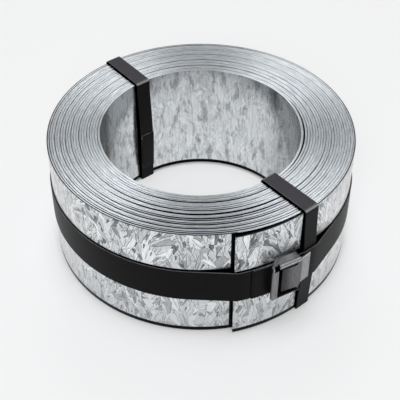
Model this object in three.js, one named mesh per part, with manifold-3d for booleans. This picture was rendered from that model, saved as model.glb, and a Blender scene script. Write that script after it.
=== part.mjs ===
// A coil of slit galvanised steel strip, lying on its side face and tied for handling: two narrow steel
// straps go through the eye, and one wide band goes round the outside and is closed by a pressed buckle.
// Millimetres, +Z up. The origin is on the floor, on the coil's axis. Bearings are in degrees,
// 0 towards -Y and 90 towards +X.

import * as THREE from "three";
import { mergeVertices } from "three/addons/utils/BufferGeometryUtils.js";
import Module from "manifold-3d";

// ---- Driving dimensions ----

const GAP = 0.3; // clearance between pieces that rest on each other
const WELD = 0.1; // how far two parts of one solid run into each other where they are joined

// The strip and its winding
const STRIP_WIDTH = 130;
const STRIP_THICKNESS = 2.5;
const WINDING_GAP = 0.15; // air between two turns
const EYE_RADIUS = 100;
const STEPS_PER_TURN = 60;
const FULL_TURNS = 20;
const TAIL_BEARING = 12.5; // where the strip's outer end lies
const TAIL_STEPS = 5; // from the outer end to where the loose tail starts
const TAIL_SPRING = 3.2; // how far the loose outer end stands off the turn below
const TAIL_EASE = 1.3; // power by which it comes away from that turn
const SLIT_BURR = 0.45; // a slit edge is rolled over on its inner face by this much
const EDGE_WANDER = 0.35; // how far the strip's edge wanders up and down as it is wound
const QUICK_WANDER = 2.3; // radians of each of its two waves in one turn
const SLOW_WANDER = 0.71;

// The two straps through the eye
const EYE_STRAP_WIDTH = 16;
const STRAP_THICKNESS = 1.2;
const FRONT_STRAP_BEARING = 40.3; // over the strip's inner end
const BACK_STRAP_BEARING = -141.5;
const STRAP_BEND = 3; // inside radius of the bends over the coil's top corners
const STRAP_STAND_OFF = 1.15; // the bend holds the strap this far off the coil's top and sides
const STRAP_BOW = 2.4; // its upright sides bow off the coil by this much more, half-way up
const SIDE_STEPS = 8; // facets up each bowed side
const FOOT_BEND = 1; // inside radius of the bends under the coil
const JOINT_FOOT = 1; // inside the eye the strap's two ends are spot-welded over each other, from this
const JOINT_TOP = 4; // step of the bowed side to this one

// The band round the outside
const BAND_WIDTH = 38;
const BAND_THICKNESS = 1.2;
const BAND_TAIL_START = 17.2; // bearing of the band's free end, turned back under the buckle
const BAND_TAIL_END = 32.2;

// The buckle: a channel-shaped frame, and a clamp plate with a tongue
const BUCKLE_BEARING = 28.7;
const FRAME_LENGTH = 32;
const FRAME_HEIGHT = 45.6;
const FRAME_RISE = 1.5; // its lower cheek is close under the band, so its middle is this much higher
const FRAME_DEPTH = 9.5;
const FRAME_FRONT = 8.3; // from the band's face out to the frame's front
const FRAME_SHEET = 2;
const FRAME_BEND = 0.8; // inside radius
const FRAME_CORNER = 3.5; // the blank's corners are rounded by this much
const WINDOW_TOP = 17.7; // from the frame's middle; its bottom is the lower cheek
const LEFT_BAR = 7.5;
const BAR_DEPTH = 4.6; // the left bar is rolled round, and is this deep
const BAR_ROUNDING = 2.2;
const NOTCH_HEIGHT = 1.6; // the bar ends this far below the window's top
const NOTCH_SLIVER = 1.6; // what is left of the sheet at the left of that notch
const NOTCH_DEPTH = 3.1;
const SLANT_LENGTH = 7.5; // the cheeks' left ends are cut off slantwise, this far along
const SLANT_DEPTH = 6.7; // and this far forwards
const CROSS_PIN_RADIUS = 1.6;
const PLATE_SHEET = 2;
const PLATE_RECESS = 1.4; // the plate's face lies this far behind the frame's
const TONGUE_LENGTH = 20.9;
const TONGUE_TOP = 12.4; // from the frame's middle, as the lug's
const TONGUE_BOTTOM = -17.4;
const TONGUE_DIP = 1.2; // its tip is pressed in towards the band by this much
const DIP_START = 8; // from the lug's bend line back to where that starts
const LUG_LENGTH = 11.2;
const LUG_TOP = 19.6;
const LUG_BOTTOM = -13.2;
const LUG_BEND = 15; // degrees that the lug turns back towards the coil
const BEND_OVERHANG = 0.8; // from the frame's right end to the lug's bend line
const SHOULDER_START = 2.6; // from that bend line to the slanted shoulders at the tongue's root
const SHOULDER_END = 5;

// ---- Sizes that follow ----

const TURN_PITCH = STRIP_THICKNESS + WINDING_GAP;
const TOTAL_STEPS = FULL_TURNS * STEPS_PER_TURN + TAIL_STEPS;
const INNER_END_BEARING = TAIL_BEARING + (TAIL_STEPS * 360) / STEPS_PER_TURN;
const COIL_BOTTOM = STRAP_THICKNESS + GAP + EDGE_WANDER;
const COIL_MIDDLE = COIL_BOTTOM + STRIP_WIDTH / 2;

const TAU = 2 * Math.PI;
const radians = THREE.MathUtils.degToRad;
const angleOf = (bearing) => radians(bearing - 90);
const outwards = (bearing) =>
  new THREE.Vector2(Math.cos(angleOf(bearing)), Math.sin(angleOf(bearing)));

const steel = (color, roughness, metalness) =>
  new THREE.MeshStandardMaterial({ color, roughness, metalness });
const galvanised = () => steel(0xb9bfc2, 0.42, 0.85);
const blackSteel = () => steel(0x232325, 0.45, 0.3);
const buckleSteel = () => steel(0x77787a, 0.4, 0.9);

const wasm = await Module();
wasm.setup();

function solidOf(geometry) {
  const bare = geometry.index ? geometry.toNonIndexed() : geometry.clone();
  bare.deleteAttribute("normal");
  bare.deleteAttribute("uv");
  const merged = mergeVertices(bare, 1e-4);
  return new wasm.Manifold(
    new wasm.Mesh({
      numProp: 3,
      vertProperties: new Float32Array(merged.attributes.position.array),
      triVerts: new Uint32Array(merged.index.array),
    }),
  );
}

function geometryOf(solid) {
  const mesh = solid.getMesh();
  const geometry = new THREE.BufferGeometry();
  geometry.setAttribute("position", new THREE.BufferAttribute(mesh.vertProperties, 3));
  geometry.setIndex(new THREE.BufferAttribute(mesh.triVerts, 1));
  geometry.computeVertexNormals();
  return geometry;
}

function piece(name, geometry, material) {
  const mesh = new THREE.Mesh(geometry, material);
  mesh.name = name;
  return mesh;
}

const extrude = (shape, depth, options = {}) =>
  new THREE.ExtrudeGeometry(shape, { depth, bevelEnabled: false, curveSegments: 6, ...options });

// ---- The strip coil ----
// Station j is a place along the strip, counted in steps from its inner end. The strip winds outwards
// against the bearings, so both its ends are square-cut steps in an otherwise round coil.

const firstLooseStep = TOTAL_STEPS - TAIL_STEPS;

function stripStation(j) {
  const turns = j / STEPS_PER_TURN;
  const bearing = INNER_END_BEARING - (360 * j) / STEPS_PER_TURN;
  const loose = Math.max(0, (j - firstLooseStep) / TAIL_STEPS);
  const inner = EYE_RADIUS + TURN_PITCH * turns + TAIL_SPRING * loose ** TAIL_EASE;
  const wander = EDGE_WANDER * Math.sin(turns * QUICK_WANDER) * Math.cos(turns * SLOW_WANDER);
  return { direction: outwards(bearing), inner, outer: inner + STRIP_THICKNESS, wander };
}

// Four corners of the strip's cross-section, in the order inner top, outer top, inner bottom, outer bottom.
function stripCorners(j) {
  const { direction, inner, outer, wander } = stripStation(j);
  const half = STRIP_WIDTH / 2;
  const corner = (radius, z) => [direction.x * radius, direction.y * radius, COIL_MIDDLE + wander + z];
  return [
    corner(inner, half - SLIT_BURR),
    corner(outer, half),
    corner(inner, SLIT_BURR - half),
    corner(outer, -half),
  ];
}

function coilGeometry() {
  const positions = [];
  const faces = [];
  for (let j = 0; j <= TOTAL_STEPS; j++) positions.push(...stripCorners(j).flat());
  const innerTop = (j) => 4 * j;
  const outerTop = (j) => 4 * j + 1;
  const innerBottom = (j) => 4 * j + 2;
  const outerBottom = (j) => 4 * j + 3;
  const quad = (a, b, c, d) => faces.push(a, b, c, a, c, d);

  for (let j = 0; j < TOTAL_STEPS; j++) {
    quad(innerTop(j), innerTop(j + 1), outerTop(j + 1), outerTop(j));
    quad(innerBottom(j), outerBottom(j), outerBottom(j + 1), innerBottom(j + 1));
  }
  // The step from each turn's edge down to the next turn's, up to where the tail comes loose.
  for (let j = 0; j < firstLooseStep - STEPS_PER_TURN; j++) {
    const next = j + STEPS_PER_TURN;
    quad(outerTop(j), outerTop(j + 1), innerTop(next + 1), innerTop(next));
    quad(outerBottom(j), innerBottom(next), innerBottom(next + 1), outerBottom(j + 1));
  }
  const innerWall = (j) => quad(innerTop(j), innerBottom(j), innerBottom(j + 1), innerTop(j + 1));
  const outerWall = (j) => quad(outerTop(j), outerTop(j + 1), outerBottom(j + 1), outerBottom(j));
  for (let j = 0; j < STEPS_PER_TURN; j++) innerWall(j);
  for (let j = firstLooseStep; j < TOTAL_STEPS; j++) innerWall(j);
  for (let j = firstLooseStep - STEPS_PER_TURN; j < TOTAL_STEPS; j++) outerWall(j);
  // Square-cut ends: the inner end, the bottom of the slot behind the loose tail, and the outer end.
  quad(innerTop(0), outerTop(0), outerBottom(0), innerBottom(0));
  quad(outerTop(0), innerTop(STEPS_PER_TURN), innerBottom(STEPS_PER_TURN), outerBottom(0));
  const root = firstLooseStep;
  const below = root - STEPS_PER_TURN;
  quad(outerTop(below), outerBottom(below), innerBottom(root), innerTop(root));
  quad(innerTop(TOTAL_STEPS), innerBottom(TOTAL_STEPS), outerBottom(TOTAL_STEPS), outerTop(TOTAL_STEPS));

  const geometry = new THREE.BufferGeometry();
  geometry.setAttribute("position", new THREE.Float32BufferAttribute(positions, 3));
  geometry.setIndex(faces);
  geometry.computeVertexNormals();
  return geometry;
}

// Outer radius of the coil at a bearing, with the loose tail where it covers it.
function coilRadius(bearing) {
  const stepsFromTail = ((((bearing - TAIL_BEARING) % 360) + 360) % 360) / (360 / STEPS_PER_TURN);
  return stripStation(TOTAL_STEPS - stepsFromTail).outer;
}

// ---- The straps through the eye ----
// Each is a closed loop round the coil's wall, drawn in the plane of the bearing (x is the radius)
// and as wide as the strap across it. Its upright sides bow away from the wall.

// Points of an upright side at x, at its steps from one to another, bowed towards that side of the wall.
function bowedSide(x, foot, head, side, fromStep, toStep) {
  const points = [];
  const count = Math.abs(toStep - fromStep);
  for (let k = 0; k <= count; k++) {
    const share = (fromStep + Math.sign(toStep - fromStep) * k) / SIDE_STEPS;
    const bow = STRAP_BOW * Math.sin(Math.PI * share) ** 2;
    points.push(new THREE.Vector2(x + side * bow, THREE.MathUtils.lerp(foot, head, share)));
  }
  return points;
}

function bowedLoop(path, { left, right, bottom, top }, topRadius, footRadius) {
  const foot = bottom + footRadius;
  const head = top - topRadius;
  path.moveTo(left + footRadius, bottom);
  path.lineTo(right - footRadius, bottom);
  path.absarc(right - footRadius, foot, footRadius, -Math.PI / 2, 0, false);
  for (const p of bowedSide(right, foot, head, 1, 1, SIDE_STEPS)) path.lineTo(p.x, p.y);
  path.absarc(right - topRadius, head, topRadius, 0, Math.PI / 2, false);
  path.lineTo(left + topRadius, top);
  path.absarc(left + topRadius, head, topRadius, Math.PI / 2, Math.PI, false);
  for (const p of bowedSide(left, foot, head, -1, SIDE_STEPS - 1, 0)) path.lineTo(p.x, p.y);
  path.absarc(left + footRadius, foot, footRadius, Math.PI, 1.5 * Math.PI, false);
  return path;
}

// The inner face of a strap's loop, at its bearing.
function strapInside(bearing) {
  const halfWidth = EYE_STRAP_WIDTH / 2;
  const sag = EYE_RADIUS - Math.sqrt(EYE_RADIUS ** 2 - halfWidth ** 2);
  return {
    left: EYE_RADIUS - sag - STRAP_STAND_OFF,
    right: coilRadius(bearing) + STRAP_STAND_OFF,
    bottom: STRAP_THICKNESS,
    top: COIL_MIDDLE + STRIP_WIDTH / 2 + EDGE_WANDER + STRAP_STAND_OFF,
  };
}

function grown(box, by) {
  return { left: box.left - by, right: box.right + by, bottom: box.bottom - by, top: box.top + by };
}

function eyeStrap(name, bearing) {
  const inside = strapInside(bearing);
  const t = STRAP_THICKNESS;
  const loop = bowedLoop(new THREE.Shape(), grown(inside, t), STRAP_BEND + t, FOOT_BEND + t);
  loop.holes.push(bowedLoop(new THREE.Path(), inside, STRAP_BEND, FOOT_BEND));
  const strap = extrude(loop, EYE_STRAP_WIDTH);

  // The welded joint: the strap's outer end lies over the inner one up to half the eye's height.
  const foot = inside.bottom + FOOT_BEND;
  const head = inside.top - STRAP_BEND;
  const under = bowedSide(inside.left - t + WELD, foot, head, -1, JOINT_FOOT, JOINT_TOP);
  const over = bowedSide(inside.left - 2 * t, foot, head, -1, JOINT_TOP, JOINT_FOOT);
  const lap = new THREE.Shape([...under, ...over]);
  const joined = geometryOf(solidOf(strap).add(solidOf(extrude(lap, EYE_STRAP_WIDTH))));

  const mesh = piece(name, joined, blackSteel());
  // The loop's plane is turned upright and its x laid along the bearing; its width is centred on it.
  mesh.geometry.translate(0, 0, -EYE_STRAP_WIDTH / 2);
  mesh.rotation.set(Math.PI / 2, 0, 0);
  const turned = new THREE.Group();
  turned.rotation.z = angleOf(bearing);
  turned.add(mesh);
  return turned;
}

// ---- The band round the outside ----
// Drawn tight, it takes the shortest way round whatever it lies on: the coil, the step at the strip's
// outer end and the two eye straps.

function hull(points) {
  const sorted = [...points].sort((a, b) => a.x - b.x || a.y - b.y);
  const cross = (o, a, b) => (a.x - o.x) * (b.y - o.y) - (a.y - o.y) * (b.x - o.x);
  const chain = (list) => {
    const kept = [];
    for (const p of list) {
      while (kept.length > 1 && cross(kept.at(-2), kept.at(-1), p) <= 1e-6) kept.pop();
      kept.push(p);
    }
    return kept.slice(0, -1);
  };
  return [...chain(sorted), ...chain(sorted.reverse())];
}

// A closed outline moved outwards: each corner goes out along the mean of its two sides' normals.
function moveOut(outline, distance) {
  return outline.map((p, i) => {
    const before = outline.at(i - 1);
    const after = outline[(i + 1) % outline.length];
    const n1 = new THREE.Vector2(p.y - before.y, before.x - p.x).normalize();
    const n2 = new THREE.Vector2(after.y - p.y, p.x - after.x).normalize();
    const mean = n1.clone().add(n2).normalize();
    return p.clone().addScaledVector(mean, distance / mean.dot(n1));
  });
}

function bandSeat() {
  const points = [];
  for (let j = TOTAL_STEPS - STEPS_PER_TURN; j <= TOTAL_STEPS; j++) {
    const { direction, outer } = stripStation(j);
    points.push(direction.clone().multiplyScalar(outer));
  }
  for (const bearing of [FRONT_STRAP_BEARING, BACK_STRAP_BEARING]) {
    const radius = strapInside(bearing).right + STRAP_BOW + STRAP_THICKNESS;
    const out = outwards(bearing);
    const across = new THREE.Vector2(-out.y, out.x);
    for (const side of [-1, 1]) {
      const edge = (side * EYE_STRAP_WIDTH) / 2;
      points.push(out.clone().multiplyScalar(radius).addScaledVector(across, edge));
    }
  }
  return moveOut(hull(points), GAP);
}

// The point of an outline that lies at a bearing.
function pointAt(outline, bearing) {
  const out = outwards(bearing);
  const side = (p) => out.x * p.y - out.y * p.x;
  const next = (i) => outline[(i + 1) % outline.length];
  const i = outline.findIndex((p, k) => side(p) <= 0 && side(next(k)) > 0 && p.dot(out) > 0);
  const [a, b] = [outline[i], next(i)];
  return a.clone().lerp(b, side(a) / (side(a) - side(b)));
}

// The part of an outline between two bearings, as points.
function stretch(outline, from, to) {
  const bearingOf = (p) => THREE.MathUtils.radToDeg(Math.atan2(p.x, -p.y));
  const between = outline.filter((p) => bearingOf(p) > from && bearingOf(p) < to);
  between.sort((a, b) => bearingOf(a) - bearingOf(b));
  return [pointAt(outline, from), ...between, pointAt(outline, to)];
}

function bellyBand() {
  const inside = bandSeat();
  const outside = moveOut(inside, BAND_THICKNESS);
  const ring = new THREE.Shape(outside);
  ring.holes.push(new THREE.Path(inside));
  const band = solidOf(extrude(ring, BAND_WIDTH));

  // The free end, turned back on the band and lying flat on it under the buckle's left bar.
  const lower = stretch(moveOut(inside, BAND_THICKNESS - WELD), BAND_TAIL_START, BAND_TAIL_END);
  const upper = stretch(moveOut(inside, 2 * BAND_THICKNESS), BAND_TAIL_START, BAND_TAIL_END);
  const tail = new THREE.Shape([...lower, ...upper.reverse()]);
  const joined = band.add(solidOf(extrude(tail, BAND_WIDTH)));

  const mesh = piece("belly_band", geometryOf(joined), blackSteel());
  mesh.position.z = COIL_MIDDLE - BAND_WIDTH / 2;
  return mesh;
}

// ---- The buckle ----
// Drawn flat: x along the band, y up the coil's side, z away from the coil. z = 0 is the level of the
// highest part of the band's face under the buckle.

function buckleSeat() {
  const face = moveOut(bandSeat(), BAND_THICKNESS);
  const reach = THREE.MathUtils.radToDeg(Math.atan(FRAME_LENGTH / 2 / coilRadius(BUCKLE_BEARING)));
  const seat = stretch(face, BUCKLE_BEARING - reach, BUCKLE_BEARING + reach);
  return Math.max(...seat.map((p) => p.dot(outwards(BUCKLE_BEARING))));
}

const block = ([x0, x1], [y0, y1], [z0, z1]) => {
  const box = new THREE.BoxGeometry(x1 - x0, y1 - y0, z1 - z0);
  box.translate((x0 + x1) / 2, (y0 + y1) / 2, (z0 + z1) / 2);
  return solidOf(box);
};

// A rectangle with round corners.
function roundedRectangle([x0, x1], [y0, y1], radius) {
  const shape = new THREE.Shape();
  shape.absarc(x1 - radius, y0 + radius, radius, -Math.PI / 2, 0, false);
  shape.absarc(x1 - radius, y1 - radius, radius, 0, Math.PI / 2, false);
  shape.absarc(x0 + radius, y1 - radius, radius, Math.PI / 2, Math.PI, false);
  shape.absarc(x0 + radius, y0 + radius, radius, Math.PI, (3 * Math.PI) / 2, false);
  return shape;
}

// The folded blank: a front web, and a cheek bent back along its top and bottom.
function channel() {
  const half = FRAME_HEIGHT / 2;
  const front = FRAME_FRONT;
  const back = front - FRAME_DEPTH;
  const outer = FRAME_BEND + FRAME_SHEET;
  const section = new THREE.Shape();
  section.moveTo(back, -half);
  section.lineTo(front - outer, -half);
  section.absarc(front - outer, -half + outer, outer, -Math.PI / 2, 0, false);
  section.lineTo(front, half - outer);
  section.absarc(front - outer, half - outer, outer, 0, Math.PI / 2, false);
  section.lineTo(back, half);
  section.lineTo(back, half - FRAME_SHEET);
  section.lineTo(front - outer, half - FRAME_SHEET);
  section.absarc(front - outer, half - outer, FRAME_BEND, Math.PI / 2, 0, true);
  section.lineTo(front - FRAME_SHEET, -half + outer);
  section.absarc(front - outer, -half + outer, FRAME_BEND, 0, -Math.PI / 2, true);
  section.lineTo(back, -half + FRAME_SHEET);
  section.closePath();
  const long = extrude(section, FRAME_LENGTH);
  long.rotateY(-Math.PI / 2); // section x becomes z, its depth runs along -x
  long.translate(FRAME_LENGTH / 2, 0, 0);
  return solidOf(long);
}

// The left bar, from the bottom cheek up to the notch.
function rolledBar(left, top) {
  const bottom = -FRAME_HEIGHT / 2 + FRAME_SHEET / 2;
  const depth = [FRAME_FRONT - BAR_DEPTH, FRAME_FRONT];
  const section = roundedRectangle([left, left + LEFT_BAR], depth, BAR_ROUNDING);
  const bar = extrude(section, top - bottom);
  bar.rotateX(Math.PI / 2); // section y becomes z, its depth runs along -y
  bar.translate(0, top, 0);
  return solidOf(bar);
}

// What is cut off the cheeks' left ends, as a wedge as high as the frame.
function slant(left, back) {
  const wedge = new THREE.Shape();
  wedge.moveTo(left - GAP, -back + GAP);
  wedge.lineTo(left - GAP, -back - SLANT_DEPTH);
  wedge.lineTo(left, -back - SLANT_DEPTH);
  wedge.lineTo(left + SLANT_LENGTH, -back);
  wedge.lineTo(left + SLANT_LENGTH, -back + GAP);
  wedge.closePath();
  const upright = extrude(wedge, FRAME_HEIGHT + 2 * GAP);
  upright.rotateX(-Math.PI / 2); // the plan's y becomes -z
  upright.translate(0, -FRAME_HEIGHT / 2 - GAP, 0);
  return solidOf(upright);
}

// The frame: its window runs out at the right end, and runs on at its top left corner over the bar's end.
function buckleFrame() {
  const half = FRAME_HEIGHT / 2;
  const right = FRAME_LENGTH / 2;
  const left = -right;
  const back = FRAME_FRONT - FRAME_DEPTH;
  const proud = FRAME_FRONT + GAP;
  const through = [back - GAP, proud];
  const windowBottom = FRAME_SHEET - half;
  const barTop = WINDOW_TOP - NOTCH_HEIGHT;

  const blank = extrude(roundedRectangle([left, right], [-half, half], FRAME_CORNER), FRAME_DEPTH);
  blank.translate(0, 0, back);
  const window = block([left + NOTCH_SLIVER, right + GAP], [windowBottom, WINDOW_TOP], through);
  const besideBar = block([left - GAP, left + LEFT_BAR], [windowBottom, barTop - WELD], through);
  const notchSpan = [left + NOTCH_SLIVER, left + LEFT_BAR];
  const notch = block(notchSpan, [barTop, half + GAP], [FRAME_FRONT - NOTCH_DEPTH, proud]);
  const cut = channel().subtract(window).subtract(besideBar).subtract(notch).subtract(slant(left, back));
  let frame = cut.add(rolledBar(left, barTop)).intersect(solidOf(blank));

  // The cross pin at the right, which the clamp plate is folded round.
  const pinLength = FRAME_HEIGHT - FRAME_SHEET;
  const pin = new THREE.CylinderGeometry(CROSS_PIN_RADIUS, CROSS_PIN_RADIUS, pinLength, 16);
  const pinDepth = FRAME_FRONT - PLATE_RECESS - PLATE_SHEET - GAP - CROSS_PIN_RADIUS;
  pin.translate(right - 2 * CROSS_PIN_RADIUS, 0, pinDepth);
  frame = frame.add(solidOf(pin));
  return piece("buckle_frame", geometryOf(frame), buckleSteel());
}

// ---- The clamp plate ----
// A tongue in the frame's window with its tip pressed in, a neck that fills the window's height, and a
// lug turned back towards the coil at the bend line, which sits higher than the tongue.

// Seen from above: x along the band, y away from the coil.
function plateBends(tip, bendLine) {
  const face = FRAME_FRONT - PLATE_RECESS;
  const bend = radians(LUG_BEND);
  const lugEnd = (depth) => [
    bendLine + LUG_LENGTH * Math.cos(bend) - depth * Math.sin(bend),
    face - LUG_LENGTH * Math.sin(bend) - depth * Math.cos(bend),
  ];
  const bends = new THREE.Shape();
  bends.moveTo(tip, face - TONGUE_DIP - PLATE_SHEET);
  bends.lineTo(bendLine - DIP_START, face - PLATE_SHEET);
  bends.lineTo(bendLine, face - PLATE_SHEET);
  bends.lineTo(...lugEnd(PLATE_SHEET));
  bends.lineTo(...lugEnd(0));
  bends.lineTo(bendLine, face);
  bends.lineTo(bendLine - DIP_START, face);
  bends.lineTo(tip, face - TONGUE_DIP);
  const bent = extrude(bends, FRAME_HEIGHT);
  bent.rotateX(Math.PI / 2); // the section's y becomes z
  bent.translate(0, FRAME_HEIGHT / 2, 0);
  return solidOf(bent);
}

// Seen from the front.
function plateOutline(tip, bendLine) {
  const neckBottom = FRAME_SHEET - FRAME_HEIGHT / 2 + GAP;
  const neckTop = WINDOW_TOP - GAP;
  const lugStart = FRAME_LENGTH / 2 + GAP;
  const lugEnd = bendLine + LUG_LENGTH;
  const outline = new THREE.Shape();
  outline.moveTo(tip, TONGUE_BOTTOM);
  outline.lineTo(bendLine - SHOULDER_END, TONGUE_BOTTOM);
  outline.lineTo(bendLine - SHOULDER_START, neckBottom);
  outline.lineTo(bendLine, LUG_BOTTOM);
  outline.lineTo(lugEnd, LUG_BOTTOM);
  outline.lineTo(lugEnd, LUG_TOP);
  outline.lineTo(lugStart, LUG_TOP);
  outline.lineTo(lugStart, neckTop);
  outline.lineTo(bendLine - SHOULDER_START, neckTop);
  outline.lineTo(bendLine - SHOULDER_END, TONGUE_TOP);
  outline.lineTo(tip, TONGUE_TOP);
  const blank = extrude(outline, 2 * FRAME_DEPTH);
  blank.translate(0, 0, FRAME_FRONT - 2 * FRAME_DEPTH);
  return solidOf(blank);
}

function bucklePlate() {
  const bendLine = FRAME_LENGTH / 2 + BEND_OVERHANG;
  const tip = bendLine - TONGUE_LENGTH;
  const plate = plateBends(tip, bendLine).intersect(plateOutline(tip, bendLine));
  return piece("buckle_plate", geometryOf(plate), buckleSteel());
}

function buckle() {
  const whole = new THREE.Group();
  whole.add(buckleFrame(), bucklePlate());
  const out = outwards(BUCKLE_BEARING);
  const away = new THREE.Vector3(out.x, out.y, 0);
  const up = new THREE.Vector3(0, 0, 1);
  const along = new THREE.Vector3().crossVectors(up, away);
  whole.matrix.makeBasis(along, up, away);
  whole.matrix.decompose(whole.position, whole.quaternion, whole.scale);
  whole.position.copy(away).multiplyScalar(buckleSeat() + GAP).setZ(COIL_MIDDLE + FRAME_RISE);
  return whole;
}

// ---- The whole coil ----

const coil = new THREE.Group();
coil.add(
  piece("strip_coil", coilGeometry(), galvanised()),
  eyeStrap("eye_strap_front", FRONT_STRAP_BEARING),
  eyeStrap("eye_strap_back", BACK_STRAP_BEARING),
  bellyBand(),
  buckle(),
);

export default coil;
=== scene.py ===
import math

import bmesh
import bpy
from mathutils import Matrix, Vector


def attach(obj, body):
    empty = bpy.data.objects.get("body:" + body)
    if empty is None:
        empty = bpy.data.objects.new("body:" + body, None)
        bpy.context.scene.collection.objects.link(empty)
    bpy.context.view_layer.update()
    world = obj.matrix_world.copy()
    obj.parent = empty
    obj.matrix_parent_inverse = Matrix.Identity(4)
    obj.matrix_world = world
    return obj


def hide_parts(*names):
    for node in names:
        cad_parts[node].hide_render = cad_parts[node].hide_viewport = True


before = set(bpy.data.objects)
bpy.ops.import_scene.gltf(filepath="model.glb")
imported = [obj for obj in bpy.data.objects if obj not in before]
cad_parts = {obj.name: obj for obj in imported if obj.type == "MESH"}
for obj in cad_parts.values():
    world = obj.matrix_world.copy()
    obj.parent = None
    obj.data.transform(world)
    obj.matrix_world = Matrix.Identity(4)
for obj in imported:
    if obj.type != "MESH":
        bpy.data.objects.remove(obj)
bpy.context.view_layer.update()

# ---- The studio ----
# A seamless white table in a room that is white low down and darker overhead. White panels stand at both
# sides for bare metal to reflect, and three soft lamps hang overhead, in front and behind.

BACKGROUND = (0.925, 0.928, 0.932, 1.0)
SURROUNDINGS = (0.96, 0.98, 1.0, 1.0)
SURROUNDINGS_STRENGTH = 0.30

FLOOR_SIZE = 12.0
FLOOR_COLOUR = (0.86, 0.862, 0.865, 1.0)
FLOOR_ROUGHNESS = 0.7
FLOOR_LIFT = 0.6  # share of the background in what the camera and bare metal see of the floor
SHADE_REACH = 0.12  # that share fades this near to the coil, so that the floor keeps its shadow
SHADE_SAMPLES = 8
EYE_FLOOR = 0.1  # but it stays within this radius, inside the eye
FLOOR_FADE = (0.8, 3.0)  # between these distances the floor turns into the background

CEILING = 0.54  # times the background's brightness, as the panels
LEFT_PANEL = 3.4
RIGHT_PANEL = 3.2
PANEL_EDGE = (0.35, 0.7)  # how far a direction points sideways where a panel starts, and where it is full
PANEL_FOOT = (0.1, 0.35)  # how far it points up where white turns into ceiling and panels
PANEL_BACK = (0.3, 0.7)  # how far it points back where these grow darker
PANEL_BACK_SHARE = 0.6

LAMP_AIM = Vector((0, 0, 0.06))
SOFT_LAMPS = (  # name, place, width and watts
    ("overhead softbox", (-0.05, 0.1, 3.4), 1.2, 40.0),
    ("front softbox", (-0.3, -3.0, 2.6), 1.8, 72.0),
    ("back softbox", (0.0, 2.4, 2.2), 1.4, 16.0),
)

CAMERA_PLACE = (-0.0004, -0.7279, 0.7019)
CAMERA_DIP = math.radians(42.54)  # below the horizon
CAMERA_LENS = 82.5
CAMERA_SENSOR = 36.0

scene = bpy.context.scene
scene.view_settings.view_transform = "Standard"


def node(tree, kind, inputs=None, **settings):
    """A node with its settings, its inputs joined to a socket or set to a value."""
    made = tree.nodes.new(kind)
    for name, value in settings.items():
        setattr(made, name, value)
    for key, value in (inputs or {}).items():
        if isinstance(value, bpy.types.NodeSocket):
            tree.links.new(value, made.inputs[key])
        else:
            made.inputs[key].default_value = value
    return made


def calculate(tree, operation, *values):
    return node(tree, "ShaderNodeMath", dict(enumerate(values)), operation=operation).outputs[0]


def times(tree, first, *others):
    for other in others:
        first = calculate(tree, "MULTIPLY", first, other)
    return first


def largest(tree, first, *others):
    for other in others:
        first = calculate(tree, "MAXIMUM", first, other)
    return first


def below(tree, value, limit):
    """1 where value is under limit, 0 elsewhere."""
    return calculate(tree, "LESS_THAN", value, limit)


def ranged(tree, value, start, end, low=0.0, high=1.0, eased=False):
    """low where value is at start, high where it is at end, and what lies between them in between."""
    curve = "SMOOTHSTEP" if eased else "LINEAR"
    ends = {"Value": value, "From Min": start, "From Max": end, "To Min": low, "To Max": high}
    return node(tree, "ShaderNodeMapRange", ends, interpolation_type=curve).outputs[0]


def parts(tree, place):
    """The three coordinates of a place or a direction."""
    return node(tree, "ShaderNodeSeparateXYZ", {0: place}).outputs


MIX_SOCKETS = {"FLOAT": (2, 3, 0), "VECTOR": (4, 5, 1), "RGBA": (6, 7, 2)}  # base, cover and result


def covered(tree, share, base, cover, kind="RGBA"):
    """The base with a share of the cover laid over it, as colours, numbers or places."""
    lower, upper, result = MIX_SOCKETS[kind]
    mixed = node(tree, "ShaderNodeMix", {0: share, lower: base, upper: cover}, data_type=kind)
    return mixed.outputs[result]


def seen_directly(tree):
    """1 in what the camera, bare metal and glass show, 0 in what lights the coil."""
    path = node(tree, "ShaderNodeLightPath").outputs
    return largest(tree, path["Is Camera Ray"], path["Is Glossy Ray"], path["Is Transmission Ray"])


def place_on_object(tree):
    return node(tree, "ShaderNodeTexCoord").outputs["Object"]


def new_material(name):
    made = bpy.data.materials.new(name)
    made.use_nodes = True
    made.node_tree.nodes.clear()
    return made, made.node_tree


def new_floor():
    """A flat square, its material lifted towards the background where the coil casts no shadow."""
    half = FLOOR_SIZE / 2
    corners = [(-half, -half, 0), (half, -half, 0), (half, half, 0), (-half, half, 0)]
    mesh = bpy.data.meshes.new("floor")
    mesh.from_pydata(corners, [], [(0, 1, 2, 3)])
    table_top, tree = new_material("pale table")
    satin = {"Base Color": FLOOR_COLOUR, "Roughness": FLOOR_ROUGHNESS}
    plain = node(tree, "ShaderNodeBsdfPrincipled", satin)
    glow = node(tree, "ShaderNodeEmission", {"Color": BACKGROUND, "Strength": 1.0})
    measured = node(tree, "ShaderNodeVectorMath", {0: place_on_object(tree)}, operation="LENGTH")
    away = measured.outputs["Value"]
    shade = node(tree, "ShaderNodeAmbientOcclusion", {"Distance": SHADE_REACH}, samples=SHADE_SAMPLES)
    near = times(tree, largest(tree, shade.outputs["AO"], below(tree, away, EYE_FLOOR)), FLOOR_LIFT)
    far = ranged(tree, away, *FLOOR_FADE, eased=True)
    lift = times(tree, largest(tree, near, far), seen_directly(tree))
    lifted = node(tree, "ShaderNodeMixShader", {0: lift, 1: plain.outputs[0], 2: glow.outputs[0]})
    node(tree, "ShaderNodeOutputMaterial", {"Surface": lifted.outputs[0]})
    mesh.materials.append(table_top)
    made = bpy.data.objects.new("floor", mesh)
    scene.collection.objects.link(made)
    return made


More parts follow.
